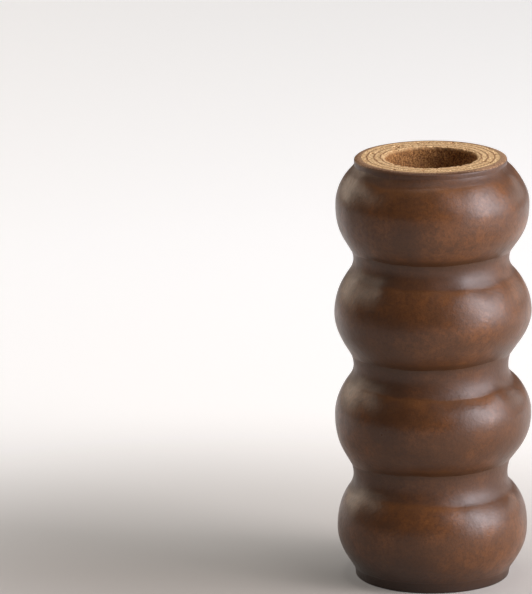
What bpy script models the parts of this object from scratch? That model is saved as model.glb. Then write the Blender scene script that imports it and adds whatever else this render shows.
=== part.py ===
"""A baumkuchen in a chocolate coat: four baked batter layers round a straight bore, and the coat over them.

The cake is a length of a long waved roll, cut off square through its collars, and it stands on one cut
face. Its axis is +Z, its base is at z = 0 and its front is towards -Y. Every length is in metres.
"""

import math
from collections import namedtuple

import bmesh
import bpy
from mathutils import Vector, noise

CAKE_HEIGHT = 0.130

# The roll's waves, from the foot up. Each has a crease, an underside that swells out of it to the widest
# place, a shoulder where the bulge turns into a collar, and the collar, which runs to the next crease.
# Heights are over the base. Of the lowest wave only the collar is left, and the upper cut took off the
# last crease. A wave's fullness is the power that its underside swells with, and the shifts are how far
# its widest place and its crease lie off the axis.
Wave = namedtuple("Wave", "crease widest shoulder radius fullness shift_x shift_y crease_shift")
WAVES = (
    Wave(-0.0280, -0.0145, -0.0045, 0.02890, 2.2, 0.0, 0.0, 0.0),
    Wave(0.0031, 0.0159, 0.0273, 0.02895, 2.2, 0.00020, -0.00010, 0.0004),
    Wave(0.0363, 0.0514, 0.0616, 0.02970, 2.5, 0.00023, 0.00015, -0.0005),
    Wave(0.0702, 0.0831, 0.0945, 0.02975, 2.0, 0.00043, -0.00005, -0.0002),
    Wave(0.1019, 0.1162, 0.1254, 0.02918, 2.6, 0.00035, 0.00010, 0.0),
)
LAST_CREASE = 0.1330
CREASE_RADIUS = 0.0230
SHOULDER_SHARE = 0.335
SHOULDER_SLOPE = 0.85
COLLAR_CURVE = 0.0059

# How the creases are rounded out: the size of the curve, and how steep the sides are that it joins
CREASE_FILLET = 0.0024
CREASE_SLOPE = 0.9

# The bore that the baking roller leaves, and where each batter layer ends, as a share of the wall
BORE_RADIUS = 0.0140
LAYER_ENDS = (0.149, 0.391, 0.652, 1.0)
SKIN_GAP = 0.0003

# The chocolate: its thickness measured level, and how its ends wrap the rounded edges of the cut faces
COAT_THICKNESS = 0.0009
COAT_LIP = 0.0004
COAT_CLEAR_OF_FLOOR = 0.0004
Rounding = namedtuple("Rounding", "width height")
TOP_ROUNDING = Rounding(width=0.0025, height=0.0019)
FOOT_ROUNDING = Rounding(width=0.0005, height=0.0006)
INNER_TOP_ROUNDING = Rounding(TOP_ROUNDING.width - COAT_THICKNESS, TOP_ROUNDING.height)
INNER_FOOT_ROUNDING = Rounding(FOOT_ROUNDING.width - COAT_THICKNESS / 2, FOOT_ROUNDING.height)

# Unevenness of hand-poured batter: wide lumps in its thickness, and places where it sagged. The sag and
# the shifts fade out towards the cut faces.
OUT_OF_ROUND = 0.022
LUMPS_ROUND = 1.1
LUMP_HEIGHT = 0.030
SAG = 0.0014
SAGS_ROUND = 0.8
SAG_HEIGHT = 0.060
SAG_PLACE = Vector((-5.0, -5.7, 0))
END_FADE = 0.25

# Fineness of the facets. Rows are those under and over each widest place.
Rows = namedtuple("Rows", "under over")
SKIN_ROWS = (Rows(1, 1), Rows(1, 2), Rows(2, 3))
COAT_INSIDE_ROWS = Rows(2, 4)
COAT_OUTSIDE_ROWS = Rows(5, 7)
COAT_STEPS = 48
LAYER_STEPS = 24
ROUNDING_STEPS = 3
SHARP_ANGLE = math.radians(38)


def hermite(share, start, end, start_slope, end_slope):
    """A cubic from start to end, with the given slopes per unit of share."""
    rest = 1 - share
    return (
        rest**2 * ((1 + 2 * share) * start + share * start_slope)
        + share**2 * ((1 + 2 * rest) * end - rest * end_slope)
    )


def wave_at(height):
    """The wave that a height belongs to."""
    return [wave for wave in WAVES if wave.crease <= height][-1]


def swell(height):
    """How far the surface stands out of its crease, from 0 to 1 at the bulge's widest place."""
    wave = wave_at(height)
    if height < wave.widest:
        under = (height - wave.crease) / (wave.widest - wave.crease)
        return 1 - (1 - under) ** wave.fullness
    slope = -SHOULDER_SLOPE / (wave.radius - CREASE_RADIUS)
    if height < wave.shoulder:
        length = wave.shoulder - wave.widest
        return hermite((height - wave.widest) / length, 1, SHOULDER_SHARE, 0, slope * length)
    past_shoulder = min((height - wave.shoulder) / COLLAR_CURVE, 1)
    return hermite(past_shoulder, SHOULDER_SHARE, 0, slope * COLLAR_CURVE, 0)


def crease_fill(height):
    """How far the nearest crease is rounded out at a height."""
    across = CREASE_SLOPE * min(abs(height - wave.crease) for wave in WAVES[1:])
    return (math.hypot(across, CREASE_FILLET) - across) / 2


def coat_radius(height):
    """Outer radius of the coated cake at a height, before its ends are rounded."""
    waved = CREASE_RADIUS + (wave_at(height).radius - CREASE_RADIUS) * swell(height)
    return waved + crease_fill(height)


def skin_radius(height, share):
    """Radius of the browned skin that lies at this share of the baked wall."""
    baked = coat_radius(height) - COAT_THICKNESS - SKIN_GAP
    return BORE_RADIUS + (baked - BORE_RADIUS) * share


def wave_heights(low, high, rows):
    """Heights of a waved surface's rows between low and high, with one in each crease and widest place."""
    heights = []
    next_creases = [wave.crease for wave in WAVES[1:]] + [LAST_CREASE]
    for wave, next_crease in zip(WAVES, next_creases):
        under = wave.widest - wave.crease
        over = next_crease - wave.widest
        heights += [wave.crease + under * step / rows.under for step in range(rows.under)]
        heights += [wave.widest + over * step / rows.over for step in range(rows.over)]
    nearest = CAKE_HEIGHT / len(heights) / 4
    return [low, *(height for height in heights if low + nearest < height < high - nearest), high]


def quarter_round(centre_radius, centre_height, width, height):
    """Points of a quarter ellipse, from its side to its end, both included."""
    turns = [math.pi / 2 * step / ROUNDING_STEPS for step in range(ROUNDING_STEPS + 1)]
    return [(centre_radius + width * math.cos(turn), centre_height + height * math.sin(turn)) for turn in turns]


def rounded_side(inset, low, high, foot, top, rows):
    """A side from low to high that follows the coat, pulled in by inset, and turns in at both ends."""
    side_low = low + foot.height
    side_high = high - top.height
    foot_centre = coat_radius(side_low) - inset - foot.width
    top_centre = coat_radius(side_high) - inset - top.width
    return [
        *reversed(quarter_round(foot_centre, side_low, foot.width, -foot.height)),
        *((coat_radius(row) - inset, row) for row in wave_heights(side_low, side_high, rows)[1:-1]),
        *quarter_round(top_centre, side_high, top.width, top.height),
    ]


def coat_outline():
    """The coat's section: the waved outside, and an inside that follows it and tapers at both lips."""
    outside = rounded_side(
        0, COAT_CLEAR_OF_FLOOR, CAKE_HEIGHT, FOOT_ROUNDING, TOP_ROUNDING, COAT_OUTSIDE_ROWS
    )
    inside = rounded_side(
        COAT_THICKNESS,
        COAT_CLEAR_OF_FLOOR + COAT_LIP,
        CAKE_HEIGHT - COAT_LIP,
        INNER_FOOT_ROUNDING,
        INNER_TOP_ROUNDING,
        COAT_INSIDE_ROWS,
    )
    return outside + inside[::-1]


def coated_side():
    """The last layer's outer side: it follows the coat's inside, and stands up square inside its lips."""
    side = rounded_side(
        COAT_THICKNESS + SKIN_GAP,
        COAT_CLEAR_OF_FLOOR + COAT_LIP + SKIN_GAP,
        CAKE_HEIGHT - COAT_LIP - SKIN_GAP,
        INNER_FOOT_ROUNDING,
        INNER_TOP_ROUNDING,
        COAT_INSIDE_ROWS,
    )
    return [(side[0][0], 0), *side, (side[-1][0], CAKE_HEIGHT)]


def skin_side(number, offset):
    """One side of the browned skin over layer number, counted from the bore, at this offset from it."""
    rows = wave_heights(0, CAKE_HEIGHT, SKIN_ROWS[number])
    return [(skin_radius(row, LAYER_ENDS[number]) + offset, row) for row in rows]


def layer_outline(number):
    """The section of one batter layer, counted from the bore: up its outer side and down its inner."""
    last = number == len(LAYER_ENDS) - 1
    outside = coated_side() if last else skin_side(number, -SKIN_GAP / 2)
    if number:
        inside = skin_side(number - 1, SKIN_GAP / 2)
    else:
        inside = [(BORE_RADIUS, height) for height in (0, CAKE_HEIGHT / 2, CAKE_HEIGHT)]
    return outside + inside[::-1]


def uneven(point):
    """Where the batter really lies: off centre, out of round and sagging, more so further from the bore."""
    radius = math.hypot(point.x, point.y)
    baked = max(radius - BORE_RADIUS, 0)
    depth = min(baked / (CREASE_RADIUS - BORE_RADIUS), 1)
    from_ends = math.sin(math.pi * min(max(point.z / CAKE_HEIGHT, 0), 1))
    wave = wave_at(point.z)
    above = WAVES.index(wave) + (point.z > wave.widest)
    crease_shift = WAVES[min(above, len(WAVES) - 1)].crease_shift
    out = swell(point.z)
    shift = Vector((wave.shift_x * out + crease_shift * (1 - out), wave.shift_y * out, 0))
    around = Vector((point.x, point.y, 0)).normalized()
    lump = noise.noise(around * LUMPS_ROUND + Vector((0, 0, point.z / LUMP_HEIGHT)))
    droop = noise.noise(around * SAGS_ROUND + SAG_PLACE + Vector((0, 0, point.z / SAG_HEIGHT)))
    grown = 1 + OUT_OF_ROUND * lump * baked / radius
    settled = Vector((point.x * grown, point.y * grown, point.z + SAG * droop * depth * from_ends))
    return settled + shift * depth * min(1, from_ends / END_FADE)


def turned_object(name, outline, steps, material):
    """Spins a closed (radius, height) outline about the axis and makes the result uneven."""
    mesh = bmesh.new()
    corners = [mesh.verts.new((radius, 0, height)) for radius, height in outline]
    for start, end in zip(corners, corners[1:] + corners[:1]):
        mesh.edges.new((start, end))
    bmesh.ops.spin(
        mesh,
        geom=mesh.verts[:] + mesh.edges[:],
        cent=(0, 0, 0),
        axis=(0, 0, 1),
        angle=math.tau,
        steps=steps,
        use_merge=True,
    )
    bmesh.ops.recalc_face_normals(mesh, faces=mesh.faces[:])
    for vertex in mesh.verts:
        vertex.co = uneven(vertex.co)
    data = bpy.data.meshes.new(name)
    mesh.to_mesh(data)
    mesh.free()
    data.shade_smooth()
    data.set_sharp_from_angle(angle=SHARP_ANGLE)
    data.materials.append(material)
    made = bpy.data.objects.new(name, data)
    bpy.context.scene.collection.objects.link(made)


def food_material(name, colour, roughness):
    """A plain dielectric finish in one colour."""
    material = bpy.data.materials.new(name)
    material.use_nodes = True
    shader = material.node_tree.nodes["Principled BSDF"]
    shader.inputs["Base Color"].default_value = (*colour, 1)
    shader.inputs["Roughness"].default_value = roughness
    shader.inputs["Metallic"].default_value = 0
    return material


def clear_scene():
    """Removes whatever objects the scene starts with."""
    for old in list(bpy.data.objects):
        bpy.data.objects.remove(old)


clear_scene()
sponge = food_material("baked_sponge", colour=(0.60, 0.37, 0.19), roughness=0.9)
chocolate = food_material("milk_chocolate", colour=(0.098, 0.042, 0.022), roughness=0.38)
for layer in range(len(LAYER_ENDS)):
    turned_object(f"baked_layer_{layer + 1}", layer_outline(layer), LAYER_STEPS, sponge)
turned_object("chocolate_coat", coat_outline(), COAT_STEPS, chocolate)
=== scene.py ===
"""A chocolate-coated baumkuchen on a pale studio floor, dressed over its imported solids.

Lengths are in metres, and +Z is up.
"""

import math
from collections import namedtuple
from functools import cache

import bmesh
import bpy
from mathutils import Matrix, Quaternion, Vector, noise


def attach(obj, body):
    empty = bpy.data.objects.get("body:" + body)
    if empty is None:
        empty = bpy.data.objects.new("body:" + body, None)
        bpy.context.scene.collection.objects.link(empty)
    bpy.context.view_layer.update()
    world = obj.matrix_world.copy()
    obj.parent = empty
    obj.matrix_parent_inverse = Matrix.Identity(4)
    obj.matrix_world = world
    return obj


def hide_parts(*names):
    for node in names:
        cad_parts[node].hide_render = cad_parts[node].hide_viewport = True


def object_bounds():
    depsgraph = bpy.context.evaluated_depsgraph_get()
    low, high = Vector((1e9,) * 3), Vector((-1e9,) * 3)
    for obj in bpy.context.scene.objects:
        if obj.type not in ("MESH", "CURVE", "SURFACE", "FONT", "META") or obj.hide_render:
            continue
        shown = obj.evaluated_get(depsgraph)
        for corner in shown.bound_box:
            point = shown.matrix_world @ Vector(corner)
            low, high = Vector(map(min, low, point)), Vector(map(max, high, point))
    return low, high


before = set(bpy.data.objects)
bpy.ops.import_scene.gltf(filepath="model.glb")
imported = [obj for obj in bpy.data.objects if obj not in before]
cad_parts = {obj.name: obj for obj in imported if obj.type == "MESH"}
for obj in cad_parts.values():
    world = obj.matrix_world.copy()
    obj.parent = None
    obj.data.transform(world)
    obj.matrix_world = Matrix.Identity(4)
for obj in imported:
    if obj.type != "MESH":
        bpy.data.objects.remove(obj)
cad_low, cad_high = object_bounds()


# The baked layers. Batter is poured over a turning roller and browned, layer upon layer. Each is a
# tube of fine open crumb with a thin brown skin, and its waves grow outwards. The roll is cut off
# square, so the crumb shows at both ends, and the roller leaves the straight bore.
CAKE_HEIGHT = cad_high.z
BORE_RADIUS = 0.0140
LAYER_ENDS = (0.149, 0.391, 0.652, 1.0)
SEAM = 0.00002
COAT_THICKNESS = 0.0009
COAT_LIP = 0.0004
SAME = 1e-7
MILLIMETRES = 1000

# A wave rises from its crease to its widest place, falls to its shoulder and ends in a collar.
Wave = namedtuple(
    "Wave", "crease widest shoulder radius fullness shift_x shift_y crease_shift drop"
)
WAVES = (
    Wave(-0.0280, -0.0145, -0.0045, 0.02890, 2.2, 0.0, 0.0, 0.0, 0.0),
    Wave(0.0031, 0.0159, 0.0273, 0.02891, 2.2, 0.00020, -0.00010, 0.0004, 0.0009),
    Wave(0.0363, 0.0514, 0.0616, 0.02966, 2.5, 0.00023, 0.00015, -0.0005, 0.0013),
    Wave(0.0702, 0.0831, 0.0945, 0.02970, 2.0, 0.00043, -0.00005, -0.0002, 0.0003),
    Wave(0.1019, 0.1162, 0.1254, 0.02913, 2.6, 0.00035, 0.00010, 0.0, 0.0),
)
LAST_CREASE = 0.1330
CREASE_RADIUS = 0.0230
SHOULDER_SHARE = 0.335
SHOULDER_SLOPE = 0.85
COLLAR_CURVE = 0.0059
TOP_FLARE = 0.0024
TOP_SHARE = 0.002
TOP_KINK = -0.22

# What makes the batter uneven: it runs down, wanders, leans, sags and lies out of round.
DROP_RISE = 0.0022
DROP_REACH = 0.0044
SHOULDER_WANDER = 0.0012
SHOULDER_WANDERS_ROUND = 2.6
CREASE_WANDER = 0.0002
CREASE_WANDERS_ROUND = 4.5
WANDER_REACH = 0.0040
WANDER_FADE = 0.0021
LINE_SEED = 90
TOP_SHIFT = -0.00025
TOP_SHIFT_START = 0.119
TOP_SHIFT_FULL = 0.127
OUT_OF_ROUND = 0.022
LUMPS_ROUND = 1.1
LUMP_HEIGHT = 0.030
SAG = 0.0014
SAGS_ROUND = 0.8
SAG_HEIGHT = 0.060
SAG_PLACE = Vector((-5.0, -5.7, 0))
END_FADE = 0.25

# How the edges of the cut faces are rounded, on the coat and on the crumb under it.
Rounding = namedtuple("Rounding", "width height")
TOP_ROUNDING = Rounding(width=0.0022, height=0.0009)
FOOT_ROUNDING = Rounding(width=0.0002, height=0.0003)
CRUMB_TOP = Rounding(TOP_ROUNDING.width - COAT_THICKNESS, TOP_ROUNDING.height)
CRUMB_FOOT = Rounding(FOOT_ROUNDING.width - COAT_THICKNESS / 2, FOOT_ROUNDING.height)
ROUNDING_STEPS = 8
SQUARENESS = 0.85
CRUMB_ROWS = (4, 9)
END_CLEARANCE = 0.25


def hermite(share, start, end, start_slope, end_slope):
    """A cubic from start to end, with the given slopes per unit of share."""
    rest = 1 - share
    return (
        rest**2 * ((1 + 2 * share) * start + share * start_slope)
        + share**2 * ((1 + 2 * rest) * end - rest * end_slope)
    )


@cache
def wave_at(height):
    """The wave that a height belongs to."""
    return [wave for wave in WAVES if wave.crease <= height][-1]


@cache
def swell(height):
    """How far the surface stands out of its crease, from 0 to 1 at the bulge's widest place."""
    wave = wave_at(height)
    if height < wave.widest:
        under = (height - wave.crease) / (wave.widest - wave.crease)
        return 1 - (1 - under) ** wave.fullness
    slope = -SHOULDER_SLOPE / (wave.radius - CREASE_RADIUS)
    if height < wave.shoulder:
        length = wave.shoulder - wave.widest
        return hermite((height - wave.widest) / length, 1, SHOULDER_SHARE, 0, slope * length)
    if wave is WAVES[-1]:
        past_shoulder = min((height - wave.shoulder) / TOP_FLARE, 1)
        return hermite(past_shoulder, SHOULDER_SHARE, TOP_SHARE, slope * TOP_FLARE, TOP_KINK)
    past_shoulder = min((height - wave.shoulder) / COLLAR_CURVE, 1)
    return hermite(past_shoulder, SHOULDER_SHARE, 0, slope * COLLAR_CURVE, 0)


def coat_radius(height):
    """Outer radius of the coated cake at a height, before its ends are rounded."""
    return CREASE_RADIUS + (wave_at(height).radius - CREASE_RADIUS) * swell(height)


def skin_radius(height, share):
    """Radius of the brown skin that lies at this share of the baked wall."""
    baked = coat_radius(height) - COAT_THICKNESS
    return BORE_RADIUS + (baked - BORE_RADIUS) * share


def nearest_crease(height):
    """The crease line nearest to a height."""
    return min((wave.crease for wave in WAVES[1:]), key=lambda crease: abs(height - crease))


def nearest_shoulder(height):
    """The shoulder line nearest to a height."""
    return min((wave.shoulder for wave in WAVES[1:]), key=lambda shoulder: abs(height - shoulder))


@cache
def shoulder_drop(height):
    """How far the batter over a shoulder has run down on the cake's right side."""
    return sum(
        wave.drop * math.exp(-(((height - wave.shoulder - DROP_RISE) / DROP_REACH) ** 2))
        for wave in WAVES
    )


def line_wander(height, around):
    """How far up or down the nearest shoulder and crease wander in this direction."""
    shoulder = nearest_shoulder(height)
    crease = nearest_crease(height)
    shoulder_place = around * SHOULDER_WANDERS_ROUND + Vector((0, 0, shoulder * LINE_SEED))
    crease_place = around * CREASE_WANDERS_ROUND + Vector((0, 0, crease * LINE_SEED))
    by_shoulder = math.exp(-(((height - shoulder) / WANDER_REACH) ** 2))
    by_crease = math.exp(-(((height - crease) / WANDER_REACH) ** 2))
    return (
        SHOULDER_WANDER * noise.noise(shoulder_place) * by_shoulder
        + CREASE_WANDER * noise.noise(crease_place) * by_crease
    )


@cache
def top_shift(height):
    """How far the top of the cake leans to one side at a height."""
    share = min(max((height - TOP_SHIFT_START) / (TOP_SHIFT_FULL - TOP_SHIFT_START), 0), 1)
    return TOP_SHIFT * share**2 * (3 - 2 * share)


def uneven(point):
    """Where the batter really lies. It strays more the further it is from the bore."""
    radius = math.hypot(point.x, point.y)
    baked = max(radius - BORE_RADIUS, 0)
    depth = min(baked / (CREASE_RADIUS - BORE_RADIUS), 1)
    from_ends = math.sin(math.pi * min(max(point.z / CAKE_HEIGHT, 0), 1))
    wave = wave_at(point.z)
    above = WAVES.index(wave) + (point.z > wave.widest)
    crease_shift = WAVES[min(above, len(WAVES) - 1)].crease_shift
    out = swell(point.z)
    shift = Vector((wave.shift_x * out + crease_shift * (1 - out), wave.shift_y * out, 0))
    around = Vector((point.x, point.y, 0)).normalized()
    lump = noise.noise(around * LUMPS_ROUND + Vector((0, 0, point.z / LUMP_HEIGHT)))
    droop = noise.noise(around * SAGS_ROUND + SAG_PLACE + Vector((0, 0, point.z / SAG_HEIGHT)))
    grown = 1 + OUT_OF_ROUND * lump * baked / radius
    sunk = point.z + SAG * droop * depth * from_ends
    settled = Vector((point.x * grown, point.y * grown, sunk))
    from_end = min(max(min(point.z, CAKE_HEIGHT - point.z) / WANDER_FADE, 0), 1)
    risen = line_wander(point.z, around) - shoulder_drop(point.z) * max(around.x, 0)
    settled.z += risen * depth * from_end
    settled.x += depth * top_shift(point.z)
    return settled + shift * depth * min(1, from_ends / END_FADE)


def wave_heights(low, high, under_rows, over_rows):
    """Heights of a waved surface's rows, with one in each crease and each widest place."""
    heights = []
    next_creases = [wave.crease for wave in WAVES[1:]] + [LAST_CREASE]
    for wave, next_crease in zip(WAVES, next_creases):
        under = wave.widest - wave.crease
        over = next_crease - wave.widest
        heights += [wave.crease + under * step / under_rows for step in range(under_rows)]
        heights += [wave.widest + over * step / over_rows for step in range(over_rows)]
    nearest = END_CLEARANCE * CAKE_HEIGHT / len(heights)
    return [low, *(height for height in heights if low + nearest < height < high - nearest), high]


def quarter_round(centre_radius, centre_height, width, height):
    """Points of a quarter of a squarish ellipse, from its side to its end, both included."""
    points = []
    for step in range(ROUNDING_STEPS):
        turn = math.pi / 2 * step / ROUNDING_STEPS
        out = width * math.cos(turn) ** SQUARENESS
        rise = height * math.sin(turn) ** SQUARENESS
        points.append((centre_radius + out, centre_height + rise))
    return [*points, (centre_radius, centre_height + height)]


def rounded_side(inset, low, high, foot, top, heights):
    """The coat's side from low to high, pulled in by inset and turned in at both ends."""
    side_low = low + foot.height
    side_high = high - top.height
    foot_centre = coat_radius(side_low) - inset - foot.width
    top_centre = coat_radius(side_high) - inset - top.width
    between = [height for height in heights if side_low < height < side_high]
    return [
        *reversed(quarter_round(foot_centre, side_low, foot.width, -foot.height)),
        *((coat_radius(height) - inset, height) for height in between),
        *quarter_round(top_centre, side_high, top.width, top.height),
    ]


def crumb_side(inset):
    """The side where crumb and coat meet, pulled in from the coat's outside by inset."""
    rows = wave_heights(0, CAKE_HEIGHT, *CRUMB_ROWS)
    return rounded_side(inset, COAT_LIP, CAKE_HEIGHT - COAT_LIP, CRUMB_FOOT, CRUMB_TOP, rows)


def steps_between(start, end, largest):
    """Values strictly between start and end, spaced no wider than largest."""
    count = math.ceil(abs(end - start) / largest)
    return [start + (end - start) * step / count for step in range(1, count)]


def is_hoop(edge, row_radius):
    """Whether an edge runs round the axis, and not along the outline."""
    start, end = edge.verts
    level = abs(start.co.z - end.co.z) < SAME
    return level and abs(start[row_radius] - end[row_radius]) < SAME


def turned(outline, steps, cuts):
    """A bmesh of a closed (radius, height) outline, spun round the axis and then cut finer."""
    mesh = bmesh.new()
    row_radius = mesh.verts.layers.float.new("row_radius")
    corners = []
    for radius, height in outline:
        corner = mesh.verts.new((radius, 0, height))
        corner[row_radius] = radius
        corners.append(corner)
    for start, end in zip(corners, corners[1:] + corners[:1]):
        mesh.edges.new((start, end))
    bmesh.ops.spin(
        mesh,
        geom=mesh.verts[:] + mesh.edges[:],
        cent=(0, 0, 0),
        axis=(0, 0, 1),
        angle=math.tau,
        steps=steps,
        use_merge=True,
    )
    hoops = [edge for edge in mesh.edges if is_hoop(edge, row_radius)]
    bmesh.ops.subdivide_edges(mesh, edges=hoops, cuts=cuts, use_grid_fill=True)
    for vertex in mesh.verts:
        vertex.co.xy = vertex.co.xy.normalized() * vertex[row_radius]
    bmesh.ops.recalc_face_normals(mesh, faces=mesh.faces[:])
    mesh.verts.layers.float.remove(row_radius)
    return mesh


def dressed(name, mesh, material, node, sharp_angle):
    """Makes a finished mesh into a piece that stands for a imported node."""
    data = bpy.data.meshes.new(name)
    mesh.to_mesh(data)
    mesh.free()
    data.shade_smooth()
    data.set_sharp_from_angle(angle=math.radians(sharp_angle))
    data.materials.append(material)
    piece = bpy.data.objects.new(name, data)
    bpy.context.scene.collection.objects.link(piece)
    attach(piece, "root")
    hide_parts(node)
    return piece


class Wire:
    """A socket of a material's nodes. Arithmetic on it adds Math nodes, and node adds others."""

    def __init__(self, tree, socket=None):
        self.tree = tree
        self.socket = socket

    def node(self, kind, settings=None, inputs=None, output=0):
        made = self.tree.nodes.new(kind)
        for name, value in (settings or {}).items():
            setattr(made, name, value)
        for name, value in (inputs or {}).items():
            if isinstance(value, Wire):
                self.tree.links.new(value.socket, made.inputs[name])
            else:
                made.inputs[name].default_value = value
        return Wire(self.tree, made.outputs[output])

    def math(self, operation, first, second):
        return self.node("ShaderNodeMath", {"operation": operation}, {0: first, 1: second})

    def ramp(self, low, high):
        """0 below low, 1 above high, eased between. With low over high it falls instead."""
        inputs = {"Value": self, "From Min": low, "From Max": high}
        return self.node("ShaderNodeMapRange", {"interpolation_type": "SMOOTHSTEP"}, inputs)

    def mixed(self, blend, factor, first, second):
        """A Mix node's colour. Its inputs 0, 6 and 7 are its factor and its two colours."""
        settings = {"data_type": "RGBA", "blend_type": blend}
        return self.node("ShaderNodeMix", settings, {0: factor, 6: first, 7: second}, output=2)

    def tint(self, low, high):
        """A colour that goes from low to high as this value goes from 0 to 1."""
        return self.mixed("MIX", self, low, high)

    def feed(self, shader, socket):
        """Links this wire to a socket of the shader."""
        self.tree.links.new(self.socket, shader.inputs[socket])

    def __add__(self, other):
        return self.math("ADD", self, other)

    def __sub__(self, other):
        return self.math("SUBTRACT", self, other)

    def __rsub__(self, other):
        return self.math("SUBTRACT", other, self)

    def __mul__(self, other):
        return self.math("MULTIPLY", self, other)

    __radd__ = __add__
    __rmul__ = __mul__


def new_material(name, **shader_values):
    """A material with these values set on its shader. Returns it, its shader and a first wire."""
    material = bpy.data.materials.new(name)
    material.use_nodes = True
    shader = material.node_tree.nodes["Principled BSDF"]
    for socket, value in shader_values.items():
        shader.inputs[socket.replace("_", " ")].default_value = value
    return material, shader, Wire(material.node_tree)


def object_place(start):
    """The point's place on the object, in metres."""
    return start.node("ShaderNodeTexCoord", output=3)


def carried(start, name):
    """A value that the piece's mesh carries under this name."""
    return start.node("ShaderNodeAttribute", {"attribute_name": name}, output=2)


def grain(start, size, detail=2.0, place=(0, 0, 0)):
    """Noise over the object, from about 0.3 to 0.7, whose spots are about this size in metres."""
    moved = start.node(
        "ShaderNodeVectorMath", {"operation": "ADD"}, {0: object_place(start), 1: place}
    )
    inputs = {"Vector": moved, "Scale": 1 / size, "Detail": detail}
    return start.node("ShaderNodeTexNoise", {}, inputs)


CRUMB_BROWN = (0.52, 0.270, 0.100, 1)
CRUMB_PALE = (1.0, 0.72, 0.38, 1)
CRUMB_TOASTED = (0.64, 0.38, 0.17, 1)
PORE_SHADE_BROWN = (0.34, 0.160, 0.058, 1)
SKIN_BROWN = (0.27, 0.120, 0.044, 1)
SKIN_PALE = (0.52, 0.28, 0.12, 1)
BORE_BROWN = (0.140, 0.048, 0.010, 1)
BORE_PALE = (0.47, 0.222, 0.064, 1)


def crumb_material():
    """Tan crumb with painted shade in its pores, brown skins between the layers and a toasted
    bore.
    """
    material, shader, start = new_material("baked_crumb", Roughness=0.85)
    pore = carried(start, "pore")
    fine = grain(start, 0.0005)
    coarse = grain(start, 0.0022, place=(0.3, 0.1, 0.2))

    crumb = fine.ramp(0.34, 0.60).tint(CRUMB_BROWN, CRUMB_PALE)
    toasted = (coarse.ramp(0.42, 0.66) * 0.7).tint(crumb, CRUMB_TOASTED)
    # Painted shade darkens the pores.
    shaded = pore.ramp(0.15, 0.9).tint(toasted, PORE_SHADE_BROWN)

    skin_colour = fine.ramp(0.35, 0.68).tint(SKIN_BROWN, SKIN_PALE)
    skin_reach = carried(start, "to_skin") + (fine - 0.5) * 0.40 + (coarse - 0.5) * 0.60
    skinned = skin_reach.ramp(0.44, 0.10).tint(shaded, skin_colour)

    bore_colour = (fine + pore * 0.2).ramp(0.30, 0.72).tint(BORE_BROWN, BORE_PALE)
    bore_reach = carried(start, "in_bore") + (fine - 0.5) * 0.5
    bore_reach.ramp(0.25, 0.75).tint(skinned, bore_colour).feed(shader, "Base Color")

    inputs = {"Strength": 0.7, "Distance": 0.00015, "Height": fine}
    start.node("ShaderNodeBump", {}, inputs).feed(shader, "Normal")
    return material


LAYER_STEPS = 112
LAYER_CUTS = 4
LAYER_SHARP_ANGLE = 60
CRUMB_STEP = 0.00018
SIDE_STEP = 0.0040
BORE_STEP = 0.00025
BORE_STEP_GROWTH = 1.06
GRAIN_SIZE = 0.0006
GRAIN_DEPTH = 0.00010
PORE_SIZE = 0.0010
PORE_SHARE = 0.40
PORE_DEPTH = 0.00035
PORE_USUAL = 0.6
PORE_CROWDING = 1.6
PORE_CROWD_WIDTH = 3
PORE_STEEPNESS = 1.8
RING_WANDER = 0.00022
RING_WANDERS = 0.0032
RING_FADE = 4
BORE_RELIEF = 0.00015
BORE_LUMP = 0.0011
BORE_GRAIN = 0.0005
BORE_GRAIN_SHARE = 0.6
MOUTH_TOASTED = 0.47
TOASTED_FROM = 0.0042
EDGE_CRUMBLE = 0.00045
EDGE_WIDTH = 0.0012
EDGE_USUAL = 0.6
EDGE_TO_FRONT = 0.4
CRUMBLE_SIZE = 0.0015
CRUMBLE_STEEPNESS = 2
CRUMBLE_USUAL = 0.1
MOUTH_WIDTH = 0.0008
MOUTH_DROP = 0.0002
MOUTH_REACH = 0.0025


def bore_heights():
    """Rows down the bore, close together at its mouths and wider in the hidden middle."""
    heights = [0.0]
    step = BORE_STEP
    while heights[-1] + step < CAKE_HEIGHT / 2:
        heights.append(heights[-1] + step)
        step = min(step * BORE_STEP_GROWTH, SIDE_STEP)
    return heights + [CAKE_HEIGHT - height for height in reversed(heights)]


def layer_outline(number):
    """A layer's outer side, upper face, inner side and lower face, finely stepped where seen."""
    heights = [0, *steps_between(0, CAKE_HEIGHT, SIDE_STEP), CAKE_HEIGHT]
    if number == len(LAYER_ENDS) - 1:
        side = crumb_side(COAT_THICKNESS + SEAM)
        outer = [(side[0][0], 0), *side, (side[-1][0], CAKE_HEIGHT)]
    else:
        outer = [(skin_radius(height, LAYER_ENDS[number]) - SEAM, height) for height in heights]
    if number:
        inner_share = LAYER_ENDS[number - 1]
        inner = [(skin_radius(height, inner_share) + SEAM, height) for height in heights]
    else:
        inner = [(BORE_RADIUS, height) for height in bore_heights()]
    upper_radii = steps_between(outer[-1][0], inner[-1][0], CRUMB_STEP)
    lower_radii = steps_between(inner[0][0], outer[0][0], CRUMB_STEP)
    upper = [(radius, CAKE_HEIGHT) for radius in upper_radii]
    lower = [(radius, 0) for radius in lower_radii]
    return outer + upper + inner[::-1] + lower


def pore_at(point):
    """How deep a point of a cut face lies in a pore of the crumb, from 0 to 1."""
    nearest = noise.voronoi(point / PORE_SIZE)[0][0]
    crowd = noise.noise(point / PORE_SIZE / PORE_CROWD_WIDTH)
    wanted = PORE_SHARE * (PORE_USUAL + crowd * PORE_CROWDING)
    return min(max((wanted - nearest) / PORE_SHARE * PORE_STEEPNESS, 0), 1)


def ring_wander(point, radius):
    """How far the baked rings wander out or in at a point. It fades to nothing at the coat."""
    to_coat = CREASE_RADIUS - COAT_THICKNESS * 2 - radius
    fade = min(to_coat / (CREASE_RADIUS - BORE_RADIUS) * RING_FADE, 1)
    return RING_WANDER * noise.noise(point / RING_WANDERS) * max(fade, 0)


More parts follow.
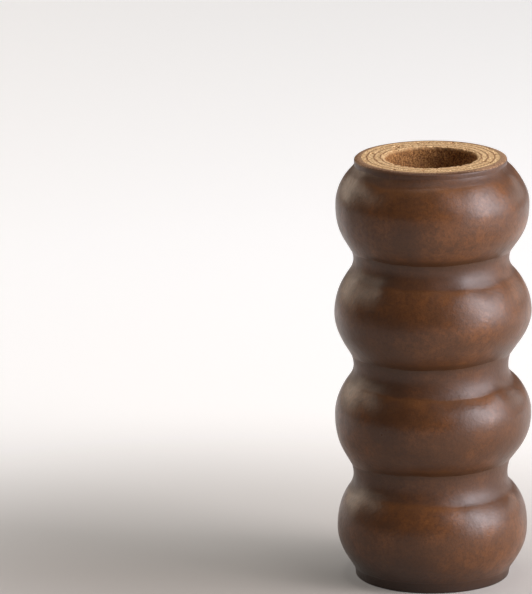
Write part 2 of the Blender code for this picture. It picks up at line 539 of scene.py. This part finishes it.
def to_nearest_skin(height, radius, number):
    """Distance to the nearer of the brown skins that a layer lies between."""
    distance = skin_radius(height, LAYER_ENDS[number]) - radius
    if number:
        distance = min(distance, radius - skin_radius(height, LAYER_ENDS[number - 1]))
    return max(distance, 0)


def cut_depth(point, outward, from_bore, pore):
    """How far a cut face lies in from its plane: pores, grain, and crumbs lost round the bore."""
    rough = GRAIN_DEPTH * (noise.noise(point / GRAIN_SIZE) + 1) / 2
    edge = max(1 - from_bore / EDGE_WIDTH, 0) * EDGE_CRUMBLE
    edge *= EDGE_USUAL - EDGE_TO_FRONT * outward.y
    lost = max(noise.noise(point / CRUMBLE_SIZE) * CRUMBLE_STEEPNESS + CRUMBLE_USUAL, 0)
    mouth = max(1 - from_bore / MOUTH_WIDTH, 0)
    return pore * PORE_DEPTH + rough + edge * lost + MOUTH_DROP * mouth**2


def bore_roughness(point):
    """How the crumb of the bore's wall stands out or in at a point, from about -1 to 1."""
    return noise.noise(point / BORE_LUMP) + BORE_GRAIN_SHARE * noise.noise(point / BORE_GRAIN)


def baked_layer(number, material):
    """One tube of crumb, with pores in its cut faces, and for the innermost a rough bore."""
    mesh = turned(layer_outline(number), LAYER_STEPS, LAYER_CUTS)
    pore_layer = mesh.verts.layers.float.new("pore")
    skin_layer = mesh.verts.layers.float.new("to_skin")
    bore_layer = mesh.verts.layers.float.new("in_bore")
    for vertex in mesh.verts:
        point = vertex.co.copy()
        radius = math.hypot(point.x, point.y)
        outward = Vector((point.x, point.y, 0)) / radius
        from_bore = radius - BORE_RADIUS
        from_end = min(point.z, CAKE_HEIGHT - point.z)
        vertex[skin_layer] = to_nearest_skin(point.z, radius, number) * MILLIMETRES
        settled = uneven(point) + outward * ring_wander(point, radius)
        up = (point.z > CAKE_HEIGHT - SEAM) - (point.z < SEAM)
        if up:
            pore = pore_at(point)
            vertex[pore_layer] = pore
            vertex[bore_layer] = max(1 - from_bore / MOUTH_WIDTH, 0) / 2
            settled.z -= up * cut_depth(point, outward, from_bore, pore)
        elif from_bore < SEAM:
            side = 1 if point.z > CAKE_HEIGHT / 2 else -1
            mouth_sink = MOUTH_DROP + EDGE_CRUMBLE / 2
            settled.z -= side * mouth_sink * max(1 - from_end / MOUTH_REACH, 0)
        if from_bore < SEAM:
            vertex[bore_layer] = min(MOUTH_TOASTED + from_end / TOASTED_FROM, 1)
            settled += outward * BORE_RELIEF * bore_roughness(point)
        vertex.co = settled
    name = f"crumb_ring_{number + 1}"
    node = f"baked_layer_{number + 1}"
    return dressed(name, mesh, material, node, LAYER_SHARP_ANGLE)


crumb = crumb_material()
for number in range(len(LAYER_ENDS)):
    baked_layer(number, crumb)


# The chocolate coat. The cut cake is dipped in milk chocolate, or has it poured over, and it sets
# to a thin satin shell. It follows the waves, fills the creases to a fine line, wraps the rounded
# rim and thins out there.
COAT_STEPS = 84
COAT_CUTS = 3
COAT_ROWS = (15, 22)
COAT_SHARP_ANGLE = 28
FLOOR_CLEARANCE = 0.0001
CREASE_ROWS = (-0.0007, -0.0004, -0.0002, 0.0002, 0.0004, 0.0007)
SHOULDER_ROWS = (-0.0006, -0.00025, 0, 0.00025, 0.0006)
CREASE_SLOPE = 0.9
CREASE_FILLET = 0.0021
FILLET_WHERE_FILLED = 1.3
FILLET_LOST_IN_FOLD = 0.35
FOOT_FILLET = 0.0021
FILLET_RISE = 0.0001
CREASE_NOTCH = 0.00008
CREASE_NOTCH_REACH = 0.00050
CREASE_NOTCH_RISE = 0.00020
SHOULDER_DENT = 0.00018
SHOULDER_DENT_REACH = 0.0011
FOLDS_ROUND = 1.6
FOLD_SPREAD = 0.32
FOLD_WAVER = 0.8
CREASE_FOLDED_FROM = 0.36
SHOULDER_FOLDED_FROM = 0.56
# Painted shade at the foot: how high it reaches, and how much higher it reaches on the left.
FOOT_SHADE_HEIGHT = 0.0128
FOOT_SHADE_LEAN = 0.0080
SWELLS = ((0.0085, 0.00018), (0.0034, 0.00006))
RIM_FADE = 0.0019

CHOCOLATE_BROWN = (0.098, 0.037, 0.013, 1)
CHOCOLATE_WARM = (0.188, 0.068, 0.020, 1)
MOTTLE_BROWN = (0.108, 0.041, 0.014, 1)
SPECK_BROWN = (0.072, 0.028, 0.010, 1)
GRAIN_BROWN = (0.058, 0.024, 0.010, 1)
COLLAR_SHADE_BROWN = (0.062, 0.028, 0.015, 1)
SHOULDER_LIGHT_ORANGE = (0.195, 0.074, 0.020, 1)
CREASE_SHADE_BROWN = (0.064, 0.025, 0.008, 1)
FOOT_SHADE_BROWN = (0.022, 0.009, 0.004, 1)
DUST_BROWN = (0.24, 0.118, 0.058, 1)
DUST_PALE = (0.48, 0.290, 0.160, 1)
THINNEST_TAN = (0.50, 0.31, 0.15, 1)


def chocolate_material():
    """Satin milk chocolate, cloudy and finely grained, duller on its collars, with painted shade
    and light.
    """
    material, shader, start = new_material("milk_chocolate_satin", Roughness=0.40, IOR=1.5)
    thin = carried(start, "thin")
    from_line = carried(start, "from_line")
    folded = carried(start, "folded")
    cloud = grain(start, 0.016, detail=2)
    mottle = grain(start, 0.0045, detail=4, place=(0.2, 0.5, 0.1))
    speck = grain(start, 0.0012, detail=3, place=(0.4, 0.6, 0.2))
    fine = grain(start, 0.0005, place=(0.7, 0.3, 0.4))

    brown = cloud.ramp(0.36, 0.64).tint(CHOCOLATE_BROWN, CHOCOLATE_WARM)
    mottled = (mottle.ramp(0.36, 0.62) * 0.65).tint(brown, MOTTLE_BROWN)
    specked = (speck.ramp(0.42, 0.66) * 0.45).tint(mottled, SPECK_BROWN)
    grained = (fine.ramp(0.40, 0.66) * 0.32).tint(specked, GRAIN_BROWN)

    # The collars darken with painted shade, and an orange edge lies along each bulge.
    wandering = from_line + (mottle - 0.5) * 2.2 + (speck - 0.5) * 1.2
    # Painted shade: the collar under each bulge is darker.
    on_collar = wandering.ramp(0.5, -1.0)
    collar_shaded = (on_collar * 0.42).tint(grained, COLLAR_SHADE_BROWN)
    # Painted light: an orange strip lies along the upturned edges of each bulge.
    broken = from_line + (mottle - 0.5) * 7
    shoulder_light = wandering.ramp(-0.7, 0.6) * broken.ramp(2.6, 0.1) * folded.ramp(0.0, 0.6)
    shoulder_lit = (shoulder_light * 0.34).tint(collar_shaded, SHOULDER_LIGHT_ORANGE)

    # Painted shade lies as a dark line in each crease, and more painted shade darkens the foot.
    along_line = from_line + (mottle - 0.5) * 0.9 + (speck - 0.5) * 0.9
    underside = carried(start, "underside").ramp(0.4, 0.8)
    # The dark crease line is painted shade.
    line = along_line.ramp(-2.0, 0.1) * along_line.ramp(2.3, 0.9) * underside
    crease_shaded = (line * folded * 0.75).tint(shoulder_lit, CREASE_SHADE_BROWN)
    # Painted shade darkens the foot.
    foot_shaded = (carried(start, "foot_shaded") * 0.85).tint(crease_shaded, FOOT_SHADE_BROWN)

    # Where the coat thins out on the rim, crumb shows through it as dust, lighter at the sides as
    # painted sheen.
    ragged = thin + (fine - 0.5) * 0.4
    dust = fine.ramp(0.36, 0.64).tint(DUST_BROWN, DUST_PALE)
    on_rim = (ragged - folded * 0.30).ramp(-0.04, 0.20) * thin.ramp(0.0, 0.06)
    # The dust is weaker at the rim's front and back, so its sides show lighter as a painted sheen.
    dusted_and_sheened = (on_rim * (1 - 0.40 * folded)).tint(foot_shaded, dust)
    ragged.ramp(0.78, 1.0).tint(dusted_and_sheened, THINNEST_TAN).feed(shader, "Base Color")

    roughness = 0.15 + 0.08 * cloud + 0.20 * mottle + 0.10 * speck
    (roughness + 0.09 * on_collar + 0.40 * thin).feed(shader, "Roughness")
    inputs = {"Strength": 0.7, "Distance": 0.00008, "Height": fine * 0.6 + speck + mottle}
    start.node("ShaderNodeBump", {}, inputs).feed(shader, "Normal")
    return material


def folded_at(line_height, outward, folded_from):
    """How open the fold along a crease or shoulder stays, from 0 to 1. Chocolate fills parts."""
    waver = noise.noise(outward * FOLDS_ROUND + SAG_PLACE * line_height * LINE_SEED)
    open_share = (abs(outward.y) - folded_from) / FOLD_SPREAD
    return min(max(open_share + FOLD_WAVER * waver, 0), 1)


def crease_folded(height, outward):
    """How open the nearest crease stays. The lowest one, at the foot, is filled."""
    crease = nearest_crease(height)
    return folded_at(crease, outward, CREASE_FOLDED_FROM) * (crease > WAVES[1].crease)


def shoulder_folded(height, outward):
    """How open the nearest shoulder's fold stays."""
    return folded_at(nearest_shoulder(height), outward, SHOULDER_FOLDED_FROM)


def crease_fill(point, outward):
    """How much chocolate rounds out the nearest crease, less the fold that stays open in it."""
    crease = nearest_crease(point.z)
    past = point.z - crease
    folded = crease_folded(point.z, outward)
    fillet = CREASE_FILLET * (FILLET_WHERE_FILLED - FILLET_LOST_IN_FOLD * folded)
    if crease == WAVES[1].crease:
        fillet = FOOT_FILLET
    across = abs(CREASE_SLOPE * (past - FILLET_RISE))
    rounded = (math.hypot(across, fillet) - across) / 2
    past_notch = (past - CREASE_NOTCH_RISE) / CREASE_NOTCH_REACH
    return rounded - CREASE_NOTCH * folded * math.exp(-(past_notch**2))


def shoulder_dent(point, outward):
    """The shallow dent along the nearest shoulder, where bulge and collar meet at an angle."""
    past = abs(point.z - nearest_shoulder(point.z))
    folded = shoulder_folded(point.z, outward)
    return SHOULDER_DENT * folded * math.exp(-past / SHOULDER_DENT_REACH)


def crease_over(height):
    """The first crease over a height."""
    return min([wave.crease for wave in WAVES if wave.crease > height] + [LAST_CREASE])


@cache
def into_bulge(height):
    """How far a height is past its bulge's nearest line. On a collar it is negative."""
    wave = wave_at(height)
    if height <= wave.shoulder:
        return min(height - wave.crease, wave.shoulder - height)
    return -min(height - wave.shoulder, crease_over(height) - height)


@cache
def under_bulge(height):
    """1 at a crease, falling to 0 at the widest place over it and at the shoulder under it."""
    wave = wave_at(height)
    if height > wave.shoulder:
        return (height - wave.shoulder) / (crease_over(height) - wave.shoulder)
    return min(max((wave.widest - height) / (wave.widest - wave.crease), 0), 1)


def coat_rows():
    """Heights of the coat's rows, closer together along its creases and shoulders."""
    rows = {*wave_heights(0, CAKE_HEIGHT, *COAT_ROWS), WAVES[-1].shoulder + TOP_FLARE}
    for wave in WAVES[1:]:
        rows |= {wave.crease + step for step in CREASE_ROWS}
        rows |= {wave.shoulder + step for step in SHOULDER_ROWS}
    return sorted(rows)


def chocolate_coat(material):
    """The shell: a finely turned outside with soft swells in it, and a plain inside."""
    outside = rounded_side(
        0, FLOOR_CLEARANCE, CAKE_HEIGHT, FOOT_ROUNDING, TOP_ROUNDING, coat_rows()
    )
    mesh = turned(outside + crumb_side(COAT_THICKNESS)[::-1], COAT_STEPS, COAT_CUTS)
    thin_layer = mesh.verts.layers.float.new("thin")
    line_layer = mesh.verts.layers.float.new("from_line")
    underside_layer = mesh.verts.layers.float.new("underside")
    folded_layer = mesh.verts.layers.float.new("folded")
    foot_shade_layer = mesh.verts.layers.float.new("foot_shaded")
    lip_radius = outside[-1][0]
    for vertex in mesh.verts:
        point = vertex.co.copy()
        radius = math.hypot(point.x, point.y)
        settled = uneven(point)
        outward = Vector((point.x, point.y, 0)) / radius
        from_rim = min((CAKE_HEIGHT - point.z) / RIM_FADE, 1)
        if radius > coat_radius(point.z) - COAT_THICKNESS / 2 or from_rim < 1:
            dip = sum(depth * (noise.noise(point / size) + 1) / 2 for size, depth in SWELLS)
            dip += shoulder_dent(point, outward)
            settled += outward * (crease_fill(point, outward) - dip * from_rim)
            to_crease = abs(point.z - nearest_crease(point.z))
            to_shoulder = abs(point.z - nearest_shoulder(point.z))
            folded = crease_folded if to_crease < to_shoulder else shoulder_folded
            vertex[folded_layer] = folded(point.z, outward)
            vertex[line_layer] = into_bulge(point.z) * MILLIMETRES
            vertex[underside_layer] = under_bulge(point.z)
            # Painted shade at the foot, reaching higher on the left side.
            foot_shade_height = FOOT_SHADE_HEIGHT - FOOT_SHADE_LEAN * outward.x
            vertex[foot_shade_layer] = max(1 - point.z / foot_shade_height, 0)
        if point.z > CAKE_HEIGHT - TOP_ROUNDING.height:
            vertex[thin_layer] = 1 - (radius - lip_radius) / TOP_ROUNDING.width
        vertex.co = settled
    name = "milk_chocolate_shell"
    return dressed(name, mesh, material, "chocolate_coat", COAT_SHARP_ANGLE)


chocolate_coat(chocolate_material())


# The studio. The cake stands on a wide pale floor that fills the picture, and no wall shows. The
# floor is a sheet of white acrylic with a painted glow where it lies behind the cake, painted
# shade near the cake, and a painted shadow left of the foot, where the cake shades it.
FLOOR_RADIUS = 6.0
FLOOR_SIDES = 96
FLOOR_GLOW = 0.46
GLOW_PLACE = (0, 0.70, 0)
GLOW_STARTS = 0.80
GLOW_FULL = 0.50
# Painted shade: the floor is darker near the cake.
NEAR_SHADE_COLOUR = (0.68, 0.64, 0.585, 1)
NEAR_REACH = 0.05
FAR_COLOUR = (0.82, 0.81, 0.79, 1)
FAR_REACH = 0.5
CLOUD_SIZE = 0.4
CLOUD_SHARE = 0.1
FOOT_SHADE = (0.62, 0.59, 0.56, 1)
SHADE_PLACE = (-0.06, 0.04, 0)
SHADE_STARTS = 0.16
SHADE_FULL = 0.04
BLACK = (0, 0, 0, 1)
WHITE = (1, 1, 1, 1)


def distance_from(start, place):
    """How far the point is from this place, in metres."""
    inputs = {0: object_place(start), 1: place}
    return start.node("ShaderNodeVectorMath", {"operation": "DISTANCE"}, inputs, output=1)


def floor_material():
    """Matt white acrylic with a painted glow behind the cake and painted shade round the cake."""
    material, shader, start = new_material(
        "pale_floor", Roughness=0.9, Emission_Strength=FLOOR_GLOW
    )
    far = distance_from(start, (0, 0, 0)).ramp(NEAR_REACH, FAR_REACH)
    tone_and_shade = (far + grain(start, CLOUD_SIZE) * CLOUD_SHARE).tint(NEAR_SHADE_COLOUR, FAR_COLOUR)
    shaded = distance_from(start, SHADE_PLACE).ramp(SHADE_STARTS, SHADE_FULL)
    shade = shaded.tint(WHITE, FOOT_SHADE)
    start.mixed("MULTIPLY", 1.0, tone_and_shade, shade).feed(shader, "Base Color")
    # Painted light: the floor glows where it lies behind the cake.
    glow = distance_from(start, GLOW_PLACE).ramp(GLOW_STARTS, GLOW_FULL)
    glow.tint(BLACK, WHITE).feed(shader, "Emission Color")
    return material


floor_mesh = bmesh.new()
bmesh.ops.create_circle(floor_mesh, cap_ends=True, segments=FLOOR_SIDES, radius=FLOOR_RADIUS)
floor_data = bpy.data.meshes.new("studio_floor")
floor_mesh.to_mesh(floor_data)
floor_mesh.free()
floor_data.materials.append(floor_material())
floor = bpy.data.objects.new("studio_floor", floor_data)
bpy.context.scene.collection.objects.link(floor)


# The lights. A small bright soft box and a wide paler one stand together at the right, a little
# towards the camera. Two warm panels at the left and one at the right back give the soft grey
# edges, and a small panel overhead lights the cut face.
Panel = namedtuple("Panel", "name azimuth elevation distance width height radiance colour")
NEUTRAL = (1.0, 1.0, 1.0)
COOL = (0.91, 0.89, 0.96)
WARM = (1.0, 0.84, 0.68)
PANELS = (
    Panel("key_box", 70, 24, 1.1, 0.50, 0.80, 6.8, COOL),
    Panel("key_spread", 69, 23, 1.1, 1.32, 1.15, 3.0, COOL),
    Panel("left_back_panel", -130, 13, 1.4, 1.00, 0.55, 1.95, WARM),
    Panel("left_side_panel", -97, 29, 1.4, 0.75, 0.45, 1.95, WARM),
    Panel("right_back_panel", 128, 12, 1.4, 1.0, 0.50, 1.3, NEUTRAL),
    Panel("overhead_panel", 0, 89, 0.9, 0.4, 0.4, 3.0, NEUTRAL),
)
LIGHT_TARGET = Vector((0, 0, CAKE_HEIGHT / 2))
AIR_RADIANCE = 0.05


def light_panel(panel):
    """A rectangular area light that faces the cake from an azimuth right of the camera's side."""
    turn = math.radians(panel.azimuth)
    rise = math.radians(panel.elevation)
    level = math.cos(rise)
    direction = Vector((math.sin(turn) * level, -math.cos(turn) * level, math.sin(rise)))
    data = bpy.data.lights.new(panel.name, "AREA")
    data.shape = "RECTANGLE"
    data.size = panel.width
    data.size_y = panel.height
    data.energy = panel.radiance * panel.width * panel.height * math.pi
    data.color = panel.colour
    lamp = bpy.data.objects.new(panel.name, data)
    lamp.location = LIGHT_TARGET + direction * panel.distance
    lamp.rotation_mode = "QUATERNION"
    lamp.rotation_quaternion = (-direction).to_track_quat("-Z", "Y")
    bpy.context.scene.collection.objects.link(lamp)


for panel in PANELS:
    light_panel(panel)

air = bpy.data.worlds.new("studio_air")
air.use_nodes = True
air.node_tree.nodes["Background"].inputs["Color"].default_value = WHITE
air.node_tree.nodes["Background"].inputs["Strength"].default_value = AIR_RADIANCE
bpy.context.scene.world = air
bpy.context.scene.view_settings.view_transform = "Standard"


# The camera stands a little above the cake and looks down on it through a long lens. It aims left
# of the cake, which stands right of the middle of its picture, and it leans a touch to one side.
CAMERA_DISTANCE = 2.080
CAMERA_HEIGHT = 0.614
CAMERA_PITCH = math.radians(14.222)
CAMERA_YAW = math.radians(1.3765)
CAMERA_ROLL = math.radians(-0.51)
CAMERA_LENS = 430.7
CAMERA_REACH = 100

camera_data = bpy.data.cameras.new("studio_camera")
camera_data.lens = CAMERA_LENS
camera_data.clip_end = CAMERA_REACH
camera = bpy.data.objects.new("studio_camera", camera_data)
camera.location = (0, -CAMERA_DISTANCE, CAMERA_HEIGHT)
aim = Vector((
    -math.sin(CAMERA_YAW) * math.cos(CAMERA_PITCH),
    math.cos(CAMERA_YAW) * math.cos(CAMERA_PITCH),
    -math.sin(CAMERA_PITCH),
))
camera.rotation_mode = "QUATERNION"
camera.rotation_quaternion = aim.to_track_quat("-Z", "Y") @ Quaternion((0, 0, 1), CAMERA_ROLL)
bpy.context.scene.collection.objects.link(camera)
bpy.context.scene.camera = camera
